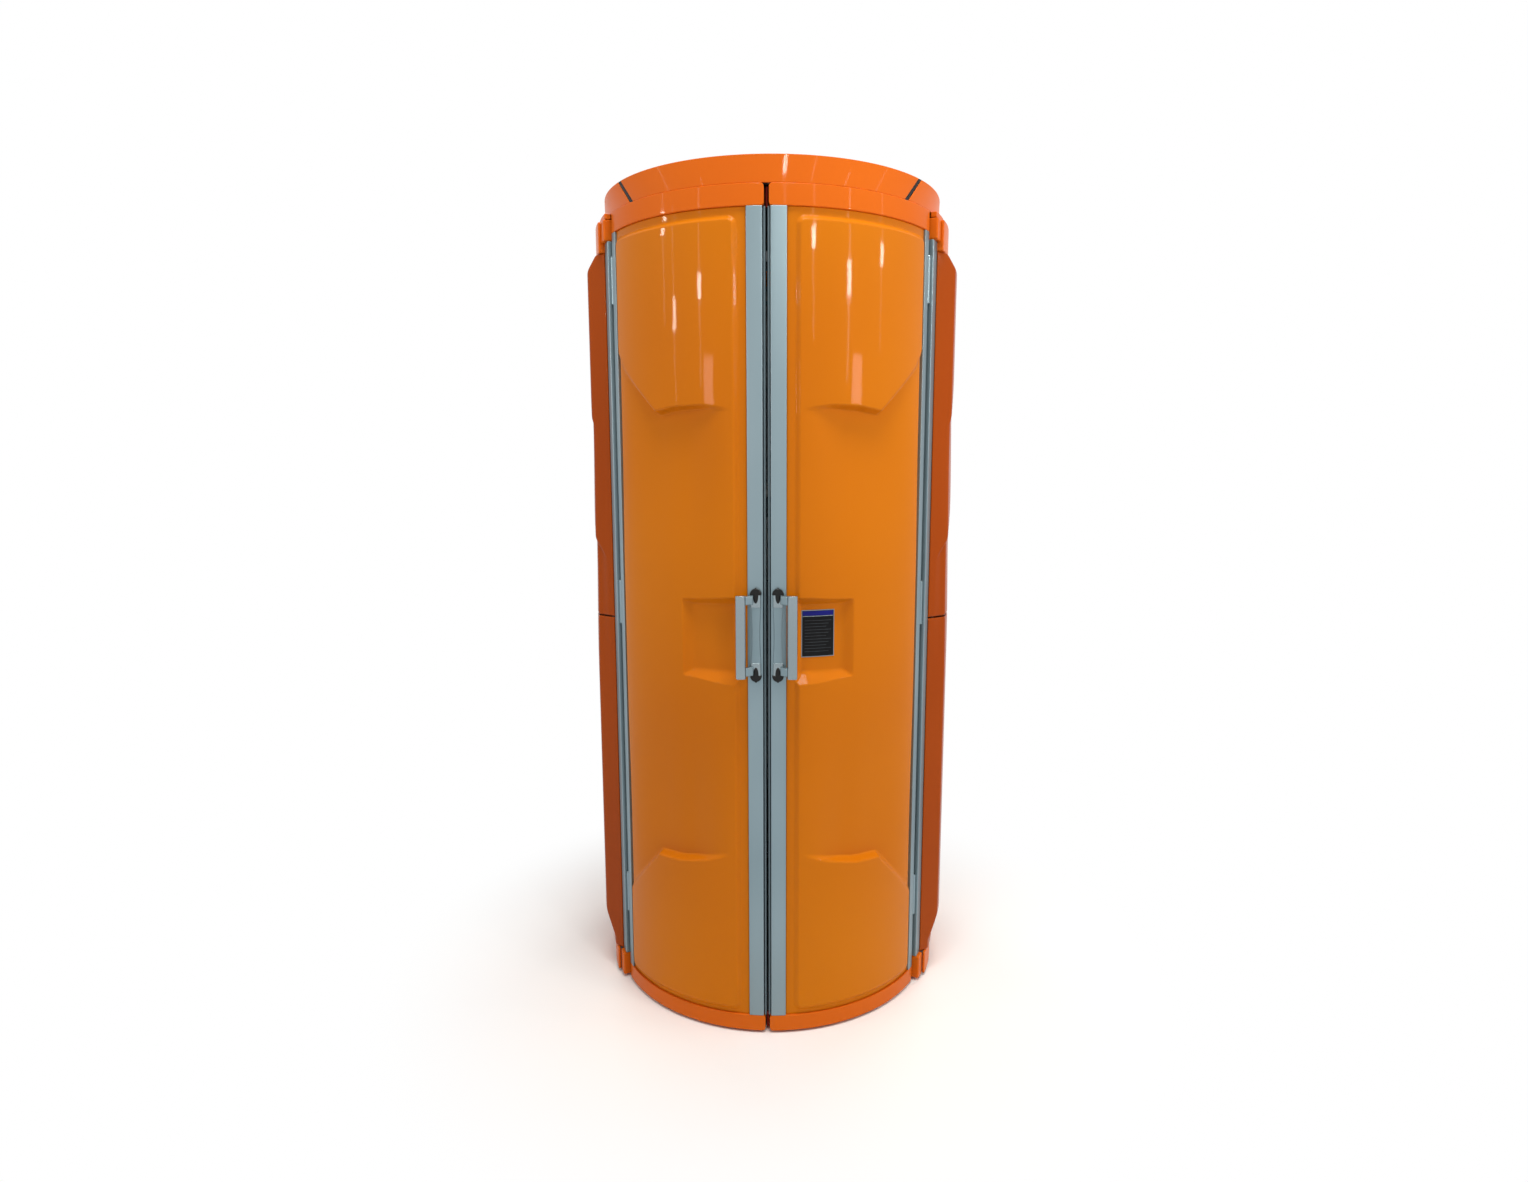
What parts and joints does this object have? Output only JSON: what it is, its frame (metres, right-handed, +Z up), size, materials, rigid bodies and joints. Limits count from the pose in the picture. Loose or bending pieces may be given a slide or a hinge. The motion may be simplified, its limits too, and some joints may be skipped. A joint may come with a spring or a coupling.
{
  "type": "vertical tanning booth",
  "caption": "Tall round stand-up tanning booth with curved embossed front doors, pull handles, lamp trays and roof fans.",
  "frame": {"origin": "on the floor, on the axis of the round cabin", "axes": "+Z up, the doors face -Y, +X to the right of someone facing the doors"},
  "size_m": [1.064, 1.0824, 2.28],
  "materials": {
    "orange_gloss": "high gloss",
    "orange_band": "high gloss",
    "alu_satin": "satin anodised",
    "black_plastic": "moulded",
    "rubber_black": "ribbed rubber",
    "sheet_white": "powder coat",
    "sheet_grey": "powder coat",
    "reflector": "bright reflector",
    "lamp_glass": "milky tube",
    "clear_window": "clear sheet",
    "platform_grey": "textured",
    "plate_black": "printed plate",
    "screen_dark": "dark window",
    "button_green": "moulded",
    "button_red": "moulded",
    "steel": "turned",
    "rocker_red": "moulded"
  },
  "bodies": {
    "cabinet": {"levelling_feet": "black_plastic", "base_plinth": "sheet_grey", "floor_platform": "platform_grey", "floor_mat": "rubber_black", "bottom_band": "orange_band", "top_band": "orange_band", "hinge_post_right": "alu_satin", "hinge_post_left": "alu_satin", "side_shell_lower_right": "orange_gloss", "side_shell_lower_left": "orange_gloss", "side_shell_upper_right": "orange_gloss", "side_shell_upper_left": "orange_gloss", "back_panel": "sheet_grey", "roof_deck": "sheet_grey", "roof_fascia_front": "orange_band", "roof_fascia_rear": "orange_band", "fan_housings": "black_plastic", "cabin_lamp_tray": "reflector", "cabin_lamps": "lamp_glass", "cabin_window": "clear_window", "ballast_box": "sheet_white", "control_panel": "sheet_white", "display_window": "screen_dark", "ceiling_grips": "steel", "supply_box": "black_plastic", "cable_gland": "black_plastic", "hinge_brackets": "alu_satin", "hinge_pins": "steel"},
    "door_right": {"door_lamp_tray_right": "reflector", "door_lamps_right": "lamp_glass", "door_window_right": "clear_window", "door_top_rail_right": "orange_band", "door_bottom_rail_right": "orange_band", "meeting_stile_right": "alu_satin", "hinge_stile_right": "alu_satin", "seam_gasket_right": "rubber_black", "door_shell_right": "orange_gloss", "handle_mount_right": "alu_satin", "handle_grip_right": "alu_satin", "handle_caps_right": "black_plastic", "hinge_knuckles_right": "alu_satin", "notice_plate": "plate_black"},
    "door_left": {"door_lamp_tray_left": "reflector", "door_lamps_left": "lamp_glass", "door_window_left": "clear_window", "door_top_rail_left": "orange_band", "door_bottom_rail_left": "orange_band", "meeting_stile_left": "alu_satin", "hinge_stile_left": "alu_satin", "seam_gasket_left": "rubber_black", "door_shell_left": "orange_gloss", "handle_mount_left": "alu_satin", "handle_grip_left": "alu_satin", "handle_caps_left": "black_plastic", "hinge_knuckles_left": "alu_satin"},
    "fan_right": {"fan_rotor_right": "black_plastic"},
    "fan_left": {"fan_rotor_left": "black_plastic"},
    "start_button": {"start_button": "button_green"},
    "stop_button": {"stop_button": "button_red"},
    "rocker": {"isolator_rocker": "rocker_red"}
  },
  "joints": [
    {"name": "door_right_hinge", "type": "hinge", "parent": "cabinet", "child": "door_right", "pos_m": [0.42615, -0.21541, 0], "axis": [0, 0, 1], "range_deg": [0, 90]},
    {"name": "door_left_hinge", "type": "hinge", "parent": "cabinet", "child": "door_left", "pos_m": [-0.42615, -0.21541, 0], "axis": [0, 0, -1], "range_deg": [0, 90]},
    {"name": "fan_right_spin", "type": "hinge", "parent": "cabinet", "child": "fan_right", "pos_m": [0.165, 0.06, 2.247], "axis": [0, 0, 1], "continuous": true},
    {"name": "fan_left_spin", "type": "hinge", "parent": "cabinet", "child": "fan_left", "pos_m": [-0.165, 0.06, 2.247], "axis": [0, 0, 1], "continuous": true},
    {"name": "start_press", "type": "slide", "parent": "cabinet", "child": "start_button", "axis": [0, 1, 0], "range_m": [0, 0.003], "stiffness_N_per_m": 400},
    {"name": "stop_press", "type": "slide", "parent": "cabinet", "child": "stop_button", "axis": [0, 1, 0], "range_m": [0, 0.003], "stiffness_N_per_m": 400},
    {"name": "rocker_tilt", "type": "hinge", "parent": "cabinet", "child": "rocker", "pos_m": [0, 0.5505, 0.236], "axis": [1, 0, 0], "range_deg": [-7, 7]}
  ]
}
